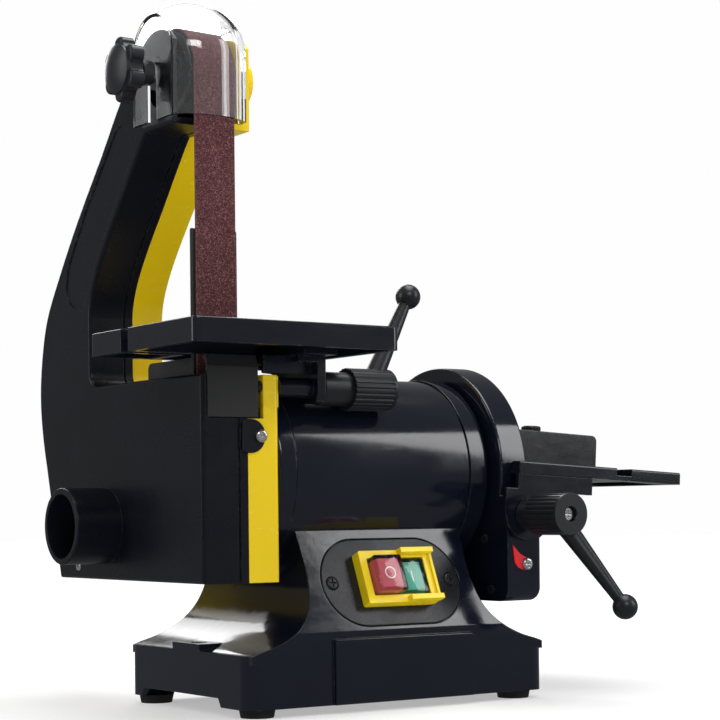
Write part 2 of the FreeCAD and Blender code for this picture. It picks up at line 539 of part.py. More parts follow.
# coil spring between the frame's seat and the bracket's foot
SP_Y, SP_X, SP_R, SP_W = 93.0, 40.2, 3.0, 0.6
z0, z1 = 315.5 + SP_W, 336.5 - SP_W
hx = Part.makeHelix((z1 - z0) / 6.0, z1 - z0, SP_R)
prof = Part.Wire(Part.makeCircle(SP_W, V(SP_R, 0, 0), V(0, 1, 0)))
spring = Part.Wire(hx).makePipeShell([prof], True, True)
spring.translate(V(SP_X, SP_Y, z0))
add("tension_spring", spring)

# star knob on the left end of the top axle
kx0, kx1 = -29.0, -5.2
kn = cylx(15.2, -25.0, -16.6, TOP_Y, TOP_Z)
for i in range(6):
    a = radians(90 + 60 * i)
    kn = kn.fuse(cylx(5.4, -25.0, -17.0, TOP_Y + 12.9 * cos(a), TOP_Z + 12.9 * sin(a)))
for i in range(6):
    a = radians(120 + 60 * i)
    kn = kn.cut(cylx(4.6, -26.0, -10.0, TOP_Y + 18.3 * cos(a), TOP_Z + 18.3 * sin(a)))
kn = kn.removeSplitter()
kn = fillet(kn, 1.6, lambda e: abs(e.BoundBox.XMin - (-25.0)) < 1e-6 and e.BoundBox.XLength < 1e-6)
capd = Part.makeSphere(32.0, V(-29.4 + 32.0, TOP_Y, TOP_Z)).common(cylx(13.6, -30, -24.0, TOP_Y, TOP_Z))
kn = kn.fuse(capd).fuse(conex(13.0, 7.0, -17.1, -12.0, TOP_Y, TOP_Z)).fuse(cylx(7.0, -12.1, kx1, TOP_Y, TOP_Z))
kn = kn.cut(cylx(5.0 + RUN, -19.0, 0, TOP_Y, TOP_Z))
add("tracking_knob", kn.removeSplitter())

# ---------------------------------------------------------------- clear hood
HX0, HX1, HMID, HEND = -4.0, 43.8, 32.9, 23.5
HC_Z, HOOD_Z = 371.0, 334.5


def hood_solid(off):
    x0, x1 = HX0 + off, HX1 - off
    re, rm = HEND - off, HMID - off
    xm = (x0 + x1) / 2
    p = lambda x, r: V(x, TOP_Y - r, HC_Z)
    a = Part.Arc(p(x0, re), p(xm, rm), p(x1, re)).toShape()
    w = Part.Wire([Part.makeLine(p(x0, 0), p(x0, re)), a, Part.makeLine(p(x1, re), p(x1, 0)), Part.makeLine(p(x1, 0), p(x0, 0))])
    f = Part.Face(w)
    top = f.revolve(V(0, TOP_Y, HC_Z), V(1, 0, 0), -180)
    z = HOOD_Z - (1.0 if off > 0 else 0.0)
    low = f.extrude(V(0, 0, z - HC_Z))
    g = f.mirror(V(0, TOP_Y, 0), V(0, 1, 0))
    low2 = g.extrude(V(0, 0, z - HC_Z))
    return top.fuse([low, low2]).removeSplitter()


ho = hood_solid(0.0)
ho = fillet(ho, 1.5, lambda e: False)
hood = ho.cut(hood_solid(2.0))
hood = hood.cut(box(HX0 + 2.0, HX1 + 1, TOP_Y + 1.0, 120, HOOD_Z - 2, 380.5))      # open at the back over the belt
hood = hood.cut(box(HX1 - 2.1, HX1 + 1, 28.4, 120, HOOD_Z - 2, 389.0))             # right side stands on the frame's plate
hood = hood.cut(box(HX0 - 1, HX0 + 3, TOP_Y - 5.4, TOP_Y + 5.4, HOOD_Z - 2, TOP_Z)).cut(cylx(5.4, HX0 - 1, HX0 + 3, TOP_Y, TOP_Z))
hood = hood.cut(box(HX0 - 1, HX0 + 2.0, TOP_Y + 22.4, 120, HOOD_Z - 2, 366.5))
add("clear_hood", Part.makeCompound([max(hood.Solids, key=lambda s: s.Volume)]))

# ---------------------------------------------------------------- belt table
t = rbox(TAB_X0, TAB_X1, TAB_Y0, TAB_Y1, TAB_Z0, TAB_Z1, 4.0)
t = fillet(t, 1.0, lambda e: e.BoundBox.ZLength < 1e-6 and e.BoundBox.ZMin > TAB_Z1 - 1e-6)
pocket = rbox(TAB_X0 + 4, TAB_X1 - 4, TAB_Y0 + 4, TAB_Y1 - 4, TAB_Z0 - 1, TAB_Z1 - 5, 3.0)
# the collar round the belt opening and the pad over the trunnion stay thick
collar = box(TAB_X0 - 1, 43.0, 13.5, 70, TAB_Z0 - 2, TAB_Z1)
pad = box(58.0, 80.0, -14.0, 58.0, TAB_Z0 - 2, TAB_Z1)
pocket = pocket.cut(Part.makeCompound([collar])).cut(pad)
t = t.cut(pocket)
t = t.cut(rbox(4.0, 39.2, 17.2, 58.6, TAB_Z0 - 2, TAB_Z1 + 2, 1.5))
t = t.cut(box(TAB_X0 - 2, 6.0, 17.2, 25.6, TAB_Z0 - 2, TAB_Z1 + 2))
t = t.cut(box(-30.0, 0.0, 30.0, 58.6, TAB_Z0 - 2, TAB_Z1 - 5))
for (x, y) in ((64.0, 8.0), (64.0, 40.0)):
    t = t.cut(cylz(1.7, TAB_Z0 - 1, TAB_Z1 - 4, x, y))
add("belt_table", t.removeSplitter())
TX0, TX1 = 72.0, 77.5
tr = prism_yz([(-5.6, 201.3), (-5.6, 176.5), (-2.5, 174.8), (9.0, 174.8), (15.0, 177.9), (20.0, 182.4), (28.0, 187.8), (35.0, 191.2), (45.0, 194.2),
               (54.0, 195.3), (54.0, 201.3)], TX0, TX1)
tr = fillet(tr, 5.0, lambda e: along_x(e) and e.BoundBox.ZMin < 177 and e.BoundBox.YMin < 0)
tr = tr.fuse(box(59.5, TX0 + 0.1, -5.6, 54.0, 197.8, 201.3))
tr = tr.fuse(box(41.0, TX0 + 0.1, 1.8, 4.4, 191.3, 201.3))          # cross web over the frame
tr = tr.fuse(cylx(5.6, FRAME_X + 0.35, TX0 + 0.1, PIV_Y, PIV_Z))
tr = tr.cut(cylx(3.25, 45, 100, PIV_Y, PIV_Z))
for (x, y) in ((64.0, 8.0), (64.0, 40.0)):
    tr = tr.cut(cylz(1.9, 190, 210, x, y))
add("belt_table_trunnion", tr.removeSplitter())
add("trunnion_screws", Part.makeCompound(
    [cylz(3.2, 195.8, 197.8, x, y).fuse(cylz(1.6, 197.7, 209, x, y)) for x, y in ((64.0, 8.0), (64.0, 40.0))]))
add("belt_table_bolt", cylx(3.2, 36.9, 116.7, PIV_Y, PIV_Z))


def lever(axis, c, face, out, tip, r_hub, l_hub, l_col):
    """Clamp handle: fluted hub on an axis ('x' or 'y'), outer end at `face`, lever to a ball at `tip`."""
    if axis == 'x':
        cyl = lambda r, a, b: cylx(r, min(a, b), max(a, b), c[0], c[1])
        ctr = lambda t: V(t, c[0], c[1])
    else:
        cyl = lambda r, a, b: cyly(r, min(a, b), max(a, b), c[0], c[1])
        ctr = lambda t: V(c[0], t, c[1])
    body = cyl(r_hub, face, face - out * l_hub)
    flutes = []
    n = 26
    for i in range(n):
        a = 2 * pi * i / n
        dy, dz = (r_hub + 0.45) * cos(a), (r_hub + 0.45) * sin(a)
        lo, hi = sorted((face - out * 2.0, face - out * (l_hub + 1)))
        if axis == 'x':
            flutes.append(cylx(0.95, lo, hi, c[0] + dy, c[1] + dz))
        else:
            flutes.append(cyly(0.95, lo, hi, c[0] + dy, c[1] + dz))
    body = body.cut(Part.makeCompound(flutes))
    body = body.fuse(cyl(r_hub - 2.6, face - out * (l_hub - 0.1), face - out * (l_hub + l_col)))
    body = body.cut(cyl(4.6, face + out, face - out * 4.5))
    body = body.cut(cyl(3.2 + 0.04, face - out * 9.0, face - out * (l_hub + l_col + 5)))
    mid = ctr(face - out * (l_hub * 0.45))
    d = tip.sub(mid)
    L = d.Length
    d.normalize()
    start = mid.add(d * 9.0)
    arm = Part.makeCone(5.9, 3.5, L - 9.0 - 5.0, start, d)
    core = cyl(5.0, face - out * 2, face - out * (l_hub + l_col + 5))
    arm = arm.cut(core)
    ball = Part.makeSphere(7.4, tip)
    b = body.fuse([arm, ball]).removeSplitter()
    b = b.cut(cyl(4.6, face + out, face - out * 4.5)).cut(cyl(3.2 + 0.04, face - out * 9.0, face - out * (l_hub + l_col + 5)))
    return b


HUB_R = 12.3
bh_face = 126.0
bh = lever('x', (PIV_Y, PIV_Z), bh_face, 1, V(146.4, 10.0, 239.9), HUB_R, 29.0, 19.0)
add("belt_table_handle", Part.makeCompound([max(bh.Solids, key=lambda s: s.Volume)]))
add("belt_handle_screw", cylx(4.3, 121.6, 123.6, PIV_Y, PIV_Z).cut(box(123.0, 124, PIV_Y - 2.6, PIV_Y + 2.6, PIV_Z - 0.5, PIV_Z + 0.5)).cut(box(123.0, 124, PIV_Y - 0.5, PIV_Y + 0.5, PIV_Z - 2.6, PIV_Z + 2.6)))

# ---------------------------------------------------------------- disc side
gd = cylx(GUARD_R, GUARD_X0, GUARD_X1, AX_Y, AX_Z)
gd = fillet(gd, 1.5, lambda e: e.BoundBox.XLength < 1e-6 and e.BoundBox.YLength > 100)
HB_X1, HB_Y0, HB_Y1, HB_Z0, HB_Z1 = 226.4, -15.7, 129.7, 58.6, 122.0
bx = box(GUARD_X0, HB_X1, HB_Y0, HB_Y1, HB_Z0, HB_Z1)
bx = fillet(bx, 8.0, lambda e: along_x(e) and e.BoundBox.ZMin < HB_Z0 + 1)
bx = fillet(bx, 5.0, lambda e: e.BoundBox.ZLength < 0.01 and e.BoundBox.XMin > HB_X1 - 0.01 and e.BoundBox.ZMin < HB_Z0 + 1)
gd = gd.fuse(bx)
hollow = cylx(GUARD_R - 2.6, GUARD_X0 + 2.6, 240, AX_Y, AX_Z)
hb = box(GUARD_X0 + 2.6, HB_X1 - 2.4, HB_Y0 + 8.0, HB_Y1 - 8.0, HB_Z0 + 2.6, HB_Z1 + 30)
low_half = box(190, HB_X1 - 2.4, -60, 180, 40, HB_Z1)
up_half = box(190, 240, -60, 180, HB_Z1 - 0.01, 260)
hollow = hollow.common(low_half).fuse(cylx(GUARD_R - 2.6, GUARD_X0 + 2.6, 240, AX_Y, AX_Z).common(up_half)).fuse(
    box(GUARD_X0 + 2.6, HB_X1 - 2.4, HB_Y0 + 14.0, HB_Y1 - 14.0, HB_Z0 + 2.6, 92.0))
gd = gd.cut(hollow)
gd = gd.fuse(cylx(30.0, BELL_X1 + 0.1, GUARD_X0 + 0.1, AX_Y, AX_Z)).cut(cylx(9.0, 150, 240 - 30, AX_Y, AX_Z))
gd = gd.cut(cyly(3.22, HB_Y0 - 5, HB_Y0 + 11, DPX, DPZ)).cut(cyly(2.6, HB_Y1 - 9, HB_Y1 + 5, DPX, DPZ))
gd = gd.cut(cyly(1.6, HB_Y0 - 2, HB_Y0 + 8, 213.0, 80.9))
for (y, z) in ((5.9, 96.0), (0.0, 65.5)):
    gd = gd.cut(cylx(1.55, GUARD_X0 - 1, GUARD_X0 + 4, y, z))
add("disc_guard", Part.makeCompound([max(gd.removeSplitter().Solids, key=lambda s: s.Volume)]))
small = [cylz(2.6, 9.1, 10.5, x, y).fuse(cylz(1.5, 10.4, 22, x, y)) for x, y in PLATE_SCREWS]
small += [cylx(2.6, GUARD_X0 - 1.4, GUARD_X0, y, z).fuse(cylx(1.5, GUARD_X0 - 0.1, GUARD_X0 + 2.2, y, z)) for y, z in ((5.9, 96.0), (0.0, 65.5))]
add("case_screws", Part.makeCompound(small))
dp = cylx(DISC_R, DISC_X0 + 1, DISC_X1, AX_Y, AX_Z).fuse(cylx(16.0, 203.5, DISC_X0 + 1.1, AX_Y, AX_Z))
dp = dp.cut(cylx(SHAFT_R + 0.01, 200, 212.0, AX_Y, AX_Z))
add("disc_plate", dp.removeSplitter())
add("abrasive_disc", cylx(DISC_R, DISC_X1, DISC_X1 + 1.1, AX_Y, AX_Z))
ptr = prism_xz([(202.6, 92.4), (204.0, 82.0), (206.5, 79.0), (210.0, 77.6), (213.0, 77.2), (216.0, 80.9), (213.0, 84.6), (208.0, 87.0)],
               HB_Y0 - 0.9, HB_Y0)
ptr = ptr.cut(cyly(1.8, HB_Y0 - 3, HB_Y0 + 1, 213.0, 80.9))
add("scale_pointer", ptr)
ps = pan_screw(0, 0, 0.9, 3.7, 2.0, 1.5, 7.5)
ps.rotate(V(0, 0, 0), V(1, 0, 0), 90)
ps.translate(V(213.0, HB_Y0, 80.9))
COVER_SCREWS.append(ps)
add("cover_screws", Part.makeCompound(COVER_SCREWS))

# disc table, built level about its tilt axis and then set to its standing tilt
DT_X0, DT_X1, DT_Y0, DT_Y1 = DPX + 10.3, DPX + 122.4, -20.0, 134.0
EAR_X0 = DPX - 7.75
DTZ1 = DPZ + 31.8
DTZ0 = DTZ1 - 7.5
dt = box(DT_X0, DT_X1, DT_Y0, DT_Y1, DTZ0, DTZ1)
dt = dt.fuse(box(EAR_X0, DT_X0 + 1, DT_Y0, -12.0, DTZ0, DTZ1)).fuse(box(EAR_X0, DT_X0 + 1, 126.0, DT_Y1, DTZ0, DTZ1)).removeSplitter()
dt = fillet(dt, 1.0, lambda e: e.BoundBox.ZLength < 1e-6 and e.BoundBox.ZMin > DTZ1 - 1e-6)
SL_X0, SL_X1 = 281.5, 293.5
dt = dt.cut(box(SL_X0, SL_X1, -40, 160, DTZ1 - 4.5, DTZ1 + 1))
for (x0, x1) in ((DT_X0 + 6, SL_X0 - 4), (SL_X1 + 4, DT_X1 - 4)):
    for (y0, y1) in ((-8, 52), (60, 122)):
        dt = dt.cut(box(x0, x1, y0, y1, DTZ0 - 1, DTZ1 - 4.0))

QY0, QY1 = HB_Y0 - 3.6, HB_Y0 - 0.5


def quadrant(y0, y1, inner_dir):
    q = prism_xz([(196.0, DTZ0), (194.8, 112.0), (197.5, 103.0), (204.0, 96.8), (213.0, 95.2), (222.0, 97.2), (227.0, 101.0), (229.5, 120.0),
                  (234.0, 124.5), (262.0, 124.5), (262.0, DTZ0)], y0, y1)
    q = q.cut(box(190, EAR_X0, y0 - 1, y1 + 1, DTZ0 - 9, DTZ0 + 1))
    # flange screwed to the table's underside
    a, b = (y1 - 0.1, y1 + 9.0) if inner_dir > 0 else (y0 - 9.0, y0 + 0.1)
    q = q.fuse(box(232.0, 262.0, a, b, DTZ0 - 3.0, DTZ0))
    return q.cut(cyly(3.25, y0 - 2, y1 + 2, DPX, DPZ))


q1 = quadrant(QY0, QY1, 1)
q2 = quadrant(HB_Y1 + 0.5, HB_Y1 + 3.6, -1)
screws = []
for (x, y) in ((247.0, QY1 + 4.5), (247.0, HB_Y1 + 0.5 - 4.5)):
    q1 = q1.cut(cylz(1.8, DTZ0 - 6, DTZ0 + 1, x, y))
    q2 = q2.cut(cylz(1.8, DTZ0 - 6, DTZ0 + 1, x, y))
    dt = dt.cut(cylz(1.6, DTZ0 - 1, DTZ0 + 3.4, x, y))
    screws.append(cylz(3.0, DTZ0 - 4.8, DTZ0 - 3.0, x, y).fuse(cylz(1.5, DTZ0 - 3.1, DTZ0 + 3.0, x, y)))


def tilt(s):
    s = s.copy()
    s.rotate(V(DPX, 0, DPZ), V(0, 1, 0), DT_TILT)
    return s


add("disc_table", tilt(dt.removeSplitter()))
add("disc_table_quadrants", Part.makeCompound([tilt(q1.removeSplitter()), tilt(q2.removeSplitter())]))
add("disc_table_screws", Part.makeCompound([tilt(s) for s in screws]))
add("disc_table_stud", cyly(3.2, HB_Y0 - 34.0, HB_Y0 + 10.0, DPX, DPZ))
rp = cyly(2.5, HB_Y1 - 8.0, HB_Y1 + 4.0, DPX, DPZ).fuse(cyly(3.2, HB_Y1 + 0.1, HB_Y1 + 4.0, DPX, DPZ)).fuse(cyly(6.0, HB_Y1 + 3.9, HB_Y1 + 7.0, DPX, DPZ))
add("disc_table_pivot_screw", rp.removeSplitter())
dh_face = -59.0
dh = lever('y', (DPX, DPZ), dh_face, -1, V(235.0, -79.0, 56.6), HUB_R, 29.0, 10.2)
add("disc_table_handle", Part.makeCompound([max(dh.Solids, key=lambda s: s.Volume)]))
add("disc_handle_screw", cyly(3.6, -56.6, -54.6, DPX, DPZ).cut(box(DPX - 2.2, DPX + 2.2, -57, -56.0, DPZ - 0.45, DPZ + 0.45)).cut(box(DPX - 0.45, DPX + 0.45, -57, -56.0, DPZ - 2.2, DPZ + 2.2)))

# mitre gauge, built on the level table
MG_X, MG_Y = (SL_X0 + SL_X1) / 2, 73.0
bar = box(SL_X0 + 0.2, SL_X1 - 0.2, 34.0, 126.0, DTZ1 - 4.4, DTZ1 - 0.3)
bar = fillet(bar, 1.0, vertical)
bar = bar.fuse(cylz(2.4, DTZ1 - 0.4, DTZ1 + 22.0, MG_X, MG_Y))
add("mitre_bar", tilt(bar))
half = cylz(34.0, DTZ1 + 0.4, DTZ1 + 3.4, MG_X, MG_Y).cut(box(200, 400, MG_Y - 60, MG_Y - 9.4, DTZ1 - 5, DTZ1 + 20))
half = half.cut(box(MG_X + 34, 400, 0, 200, 100, 200))
fence = box(MG_X - 48.0, MG_X + 46.5, MG_Y - 12.4, MG_Y - 9.3, DTZ1 + 0.4, DTZ1 + 26.4)
fence = fillet(fence, 4.0, lambda e: along_y(e) and e.BoundBox.ZMin > DTZ1 + 20)
head = half.fuse(fence).fuse(cylz(7.0, DTZ1 + 0.4, DTZ1 + 8.0, MG_X, MG_Y)).cut(cylz(2.45, 100, 200, MG_X, MG_Y))
add("mitre_head", tilt(head.removeSplitter()))
mk = cylz(6.4, DTZ1 + 18.5, DTZ1 + 30.3, MG_X, MG_Y).fuse(cylz(4.6, DTZ1 + 8.3, DTZ1 + 18.6, MG_X, MG_Y))
fl = [cylz(0.8, DTZ1 + 18.0, DTZ1 + 28.8, MG_X + 6.7 * cos(2 * pi * i / 16), MG_Y + 6.7 * sin(2 * pi * i / 16)) for i in range(16)]
mk = fillet(mk.removeSplitter(), 1.2, lambda e: e.BoundBox.ZLength < 1e-6 and e.BoundBox.ZMin > DTZ1 + 30)
mk = mk.cut(Part.makeCompound(fl)).cut(cylz(2.44, DTZ1, DTZ1 + 23.0, MG_X, MG_Y))
add("mitre_knob", tilt(mk))

# ---------------------------------------------------------------- write every part
bb = FreeCAD.BoundBox()
for n in sorted(nodes):
    s = nodes[n].copy()
    s.translate(V(-ORIGIN_X, -ORIGIN_Y, 0))
    bb.add(s.BoundBox)
    ok = s.isValid()
    print(n, "solids", len(s.Solids), "vol", round(s.Volume, 1), "" if ok else "INVALID")
    s.exportStep("parts/%s.step" % n)
print("bbox", [round(v, 2) for v in (bb.XMin, bb.XMax, bb.YMin, bb.YMax, bb.ZMin, bb.ZMax)])
print("nodes", len(nodes))
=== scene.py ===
import json
import math
import random
import bpy
import bmesh
from mathutils import Matrix, Vector

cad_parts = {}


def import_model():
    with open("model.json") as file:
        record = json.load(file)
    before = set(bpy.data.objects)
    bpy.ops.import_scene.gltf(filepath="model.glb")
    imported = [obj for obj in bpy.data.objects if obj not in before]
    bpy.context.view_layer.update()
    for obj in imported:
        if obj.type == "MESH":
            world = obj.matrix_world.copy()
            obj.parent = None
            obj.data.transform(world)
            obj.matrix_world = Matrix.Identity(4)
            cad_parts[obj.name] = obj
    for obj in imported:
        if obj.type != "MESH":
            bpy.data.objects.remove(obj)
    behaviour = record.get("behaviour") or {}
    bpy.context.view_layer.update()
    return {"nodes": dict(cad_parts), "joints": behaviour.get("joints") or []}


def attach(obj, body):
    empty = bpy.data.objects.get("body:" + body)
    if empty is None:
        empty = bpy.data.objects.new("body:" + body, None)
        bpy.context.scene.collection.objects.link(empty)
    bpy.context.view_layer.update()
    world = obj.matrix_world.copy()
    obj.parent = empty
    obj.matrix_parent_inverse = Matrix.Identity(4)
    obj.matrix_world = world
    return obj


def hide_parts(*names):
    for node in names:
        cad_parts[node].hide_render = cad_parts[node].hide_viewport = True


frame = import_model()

N = frame["nodes"]
MM = 0.001


# ------------------------------------------------------------------ materials
class Mat:
    """a procedural material on object coordinates, in metres"""

    def __init__(self, name, alpha=None):
        self.m = bpy.data.materials.new(name)
        self.m.use_nodes = True
        self.t = self.m.node_tree
        self.t.nodes.clear()
        out = self.t.nodes.new("ShaderNodeOutputMaterial")
        self.b = self.t.nodes.new("ShaderNodeBsdfPrincipled")
        self.t.links.new(self.b.outputs[0], out.inputs[0])
        self.tc = self.t.nodes.new("ShaderNodeTexCoord")
        self.co = self.tc.outputs["Object"]

    def node(self, kind, **kw):
        n = self.t.nodes.new(kind)
        for k, v in kw.items():
            setattr(n, k, v)
        return n

    def link(self, a, b):
        self.t.links.new(a, b)

    def stretch(self, sx, sy, sz):
        n = self.node("ShaderNodeMapping")
        n.inputs["Scale"].default_value = (sx, sy, sz)
        self.link(self.co, n.inputs["Vector"])
        return n.outputs[0]

    def noise(self, scale, detail=3.0, rough=0.55, co=None, distortion=0.0):
        n = self.node("ShaderNodeTexNoise")
        n.inputs["Scale"].default_value = scale
        n.inputs["Detail"].default_value = detail
        n.inputs["Roughness"].default_value = rough
        n.inputs["Distortion"].default_value = distortion
        self.link(co or self.co, n.inputs["Vector"])
        return n.outputs["Fac"]

    def voronoi(self, scale, feature="F1", out="Distance", co=None):
        n = self.node("ShaderNodeTexVoronoi")
        n.feature = feature
        n.inputs["Scale"].default_value = scale
        self.link(co or self.co, n.inputs["Vector"])
        return n.outputs[out]

    def ramp(self, fac, stops):
        n = self.node("ShaderNodeValToRGB")
        e = n.color_ramp.elements
        while len(e) < len(stops):
            e.new(0.5)
        for i, (p, c) in enumerate(stops):
            e[i].position = p
            e[i].color = (c, c, c, 1) if not isinstance(c, (tuple, list)) else (c[0], c[1], c[2], 1)
        self.link(fac, n.inputs[0])
        return n.outputs[0]

    def map(self, fac, a, b, lo=0.0, hi=1.0):
        n = self.node("ShaderNodeMapRange")
        n.inputs["From Min"].default_value = a
        n.inputs["From Max"].default_value = b
        n.inputs["To Min"].default_value = lo
        n.inputs["To Max"].default_value = hi
        self.link(fac, n.inputs["Value"])
        return n.outputs[0]

    def math(self, op, a, b):
        n = self.node("ShaderNodeMath", operation=op)
        for i, v in enumerate((a, b)):
            if isinstance(v, (int, float)):
                n.inputs[i].default_value = v
            else:
                self.link(v, n.inputs[i])
        return n.outputs[0]

    def mix(self, fac, a, b):
        n = self.node("ShaderNodeMix", data_type="RGBA")
        if isinstance(fac, (int, float)):
            n.inputs[0].default_value = fac
        else:
            self.link(fac, n.inputs[0])
        for i, v in ((6, a), (7, b)):
            if isinstance(v, (tuple, list)):
                n.inputs[i].default_value = (v[0], v[1], v[2], 1)
            else:
                self.link(v, n.inputs[i])
        return n.outputs[2]

    def edges(self, radius):
        """0 on flats, towards 1 along sharp edges; and the rounded normal"""
        bv = self.node("ShaderNodeBevel", samples=6)
        bv.inputs["Radius"].default_value = radius
        geo = self.node("ShaderNodeNewGeometry")
        dot = self.node("ShaderNodeVectorMath", operation="DOT_PRODUCT")
        self.link(bv.outputs[0], dot.inputs[0])
        self.link(geo.outputs["Normal"], dot.inputs[1])
        return self.map(dot.outputs["Value"], 0.999, 0.93, 0.0, 1.0), bv.outputs[0]

    def bump(self, height, strength, distance, normal=None):
        n = self.node("ShaderNodeBump")
        n.inputs["Strength"].default_value = strength
        n.inputs["Distance"].default_value = distance
        self.link(height, n.inputs["Height"])
        if normal is not None:
            self.link(normal, n.inputs["Normal"])
        return n.outputs[0]


def enamel(name, c0, c1, r0, r1, spec=0.5, peel=0.25, edge=0.35, edge_wear_sheen=(0.3, 0.3, 0.3), scuff=0.06, radius=0.0007):
    """sprayed enamel on a casting: orange peel, faint handling marks, and an edge colour on the arrises that is partly
    thinner paint and partly a painted highlight where the edges catch light
    """
    k = Mat(name)
    e, nrm = k.edges(radius)
    cloud = k.noise(14, 5)
    fine = k.noise(260, 2)
    col = k.mix(k.map(cloud, 0.35, 0.68), c0, c1)
    # edge colour mask: partly paint worn thin on the arrises, partly a painted highlight along the edges
    edge_wear_sheen_mask = k.math("MULTIPLY", e, k.map(k.noise(420, 4, 0.7), 0.5, 0.72, 0.0, edge))
    col = k.mix(edge_wear_sheen_mask, col, edge_wear_sheen)
    k.link(col, k.b.inputs["Base Color"])
    smear = k.noise(30, 6, 0.62, co=k.stretch(1, 1, 2.4))
    scr = k.map(k.noise(900, 3, 0.6, co=k.stretch(0.06, 1, 0.25)), 0.62, 0.75, 0.0, scuff)
    r = k.math("ADD", k.map(smear, 0.3, 0.72, r0, r1), scr)
    k.link(r, k.b.inputs["Roughness"])
    h = k.math("ADD", k.math("MULTIPLY", fine, 1.0), k.math("MULTIPLY", k.noise(1300, 2), 0.22))
    k.link(k.bump(h, peel, 0.00006, nrm), k.b.inputs["Normal"])
    k.b.inputs["Specular IOR Level"].default_value = spec
    return k.m


def plastic(name, c0, c1, r0, r1, spec=0.45, grain=900, depth=0.00005, strength=0.35, edge=0.25, edge_wear_sheen=(0.12, 0.12, 0.13), radius=0.0005):
    """moulded plastic with a fine spark-eroded grain; its edge colour is partly rubbed wear and partly a painted
    highlight along the edges
    """
    k = Mat(name)
    e, nrm = k.edges(radius)
    col = k.mix(k.map(k.noise(22, 4), 0.35, 0.7), c0, c1)
    # edge colour along sharp edges: partly rubbed wear, partly a painted highlight
    col = k.mix(k.math("MULTIPLY", e, k.map(k.noise(350, 3), 0.45, 0.7, 0.0, edge)), col, edge_wear_sheen)
    k.link(col, k.b.inputs["Base Color"])
    rub = k.math("ADD", k.map(k.noise(35, 5, 0.6), 0.3, 0.72, r0, r1), k.map(k.noise(grain * 1.6, 2), 0.35, 0.7, -0.03, 0.05))
    k.link(rub, k.b.inputs["Roughness"])
    h = k.math("ADD", k.voronoi(grain, "SMOOTH_F1"), k.math("MULTIPLY", k.noise(grain * 2.3, 2), 0.6))
    k.link(k.bump(h, strength, depth, nrm), k.b.inputs["Normal"])
    k.b.inputs["Specular IOR Level"].default_value = spec
    return k.m


def metal(name, c0, c1, r0, r1, brush=(1, 1, 1), scale=600, strength=0.25, radius=0.0003, metallic=1.0):
    """turned or plated metal with directional marks"""
    k = Mat(name)
    e, nrm = k.edges(radius)
    co = k.stretch(*brush)
    line = k.noise(scale, 4, 0.6, co=co)
    col = k.mix(k.map(k.noise(60, 4), 0.35, 0.7), c0, c1)
    # lighter colour along sharp edges: partly polished wear, partly a painted highlight
    col = k.mix(k.math("MULTIPLY", e, 0.35), col, tuple(min(1, v * 1.35 + 0.05) for v in c1))
    k.link(col, k.b.inputs["Base Color"])
    k.b.inputs["Metallic"].default_value = metallic
    k.link(k.map(k.math("ADD", k.math("MULTIPLY", line, 0.5), k.math("MULTIPLY", k.noise(45, 5), 0.5)), 0.35, 0.68, r0, r1), k.b.inputs["Roughness"])
    k.link(k.bump(line, strength, 0.00002, nrm), k.b.inputs["Normal"])
    return k.m


def grit(name, dark, mid, light, grain=1250):
    """abrasive grains bonded to cloth: sharp little facets, dark resin between them"""
    k = Mat(name)
    cell = k.voronoi(grain, "F1", "Distance")
    tone = k.voronoi(grain, "F1", "Color")
    sep = k.node("ShaderNodeSeparateColor")
    k.link(tone, sep.inputs[0])
    big = k.noise(260, 3, 0.6)
    col = k.ramp(sep.outputs[0], [(0.0, dark), (0.30, tuple(v * 0.62 for v in mid)), (0.62, mid), (0.84, tuple((a + b) / 2 for a, b in zip(mid, light))), (1.0, light)])
    col = k.mix(k.map(cell, 0.35, 0.75, 0.0, 0.75), col, dark)
    col = k.mix(k.map(big, 0.35, 0.7, 0.0, 0.3), col, dark)
    e, _ = k.edges(0.0005)
    col = k.mix(k.math("MULTIPLY", e, k.map(k.noise(500, 3), 0.4, 0.65, 0.15, 0.85)), col, (0.33, 0.20, 0.18))
    k.link(col, k.b.inputs["Base Color"])
    k.link(k.map(sep.outputs[1], 0.0, 1.0, 0.5, 0.86), k.b.inputs["Roughness"])
    h = k.math("ADD", k.math("MULTIPLY", cell, -1.0), k.math("MULTIPLY", sep.outputs[2], 0.55))
    k.link(k.bump(h, 0.9, 0.00035), k.b.inputs["Normal"])
    k.b.inputs["Specular IOR Level"].default_value = 0.35
    return k.m


def clear(name, tint, rough=0.03, ior=1.49):
    """clear moulded polycarbonate with handling haze"""
    k = Mat(name)
    k.link(k.mix(k.map(k.noise(40, 3), 0.35, 0.7), tint, tuple(v * 0.985 for v in tint)), k.b.inputs["Base Color"])
    k.b.inputs["Transmission Weight"].default_value = 1.0
    k.b.inputs["IOR"].default_value = ior
    k.link(k.map(k.noise(55, 6, 0.65), 0.45, 0.85, rough, rough + 0.05), k.b.inputs["Roughness"])
    k.link(k.bump(k.noise(90, 2), 0.05, 0.0002), k.b.inputs["Normal"])
    return k.m


M = {}
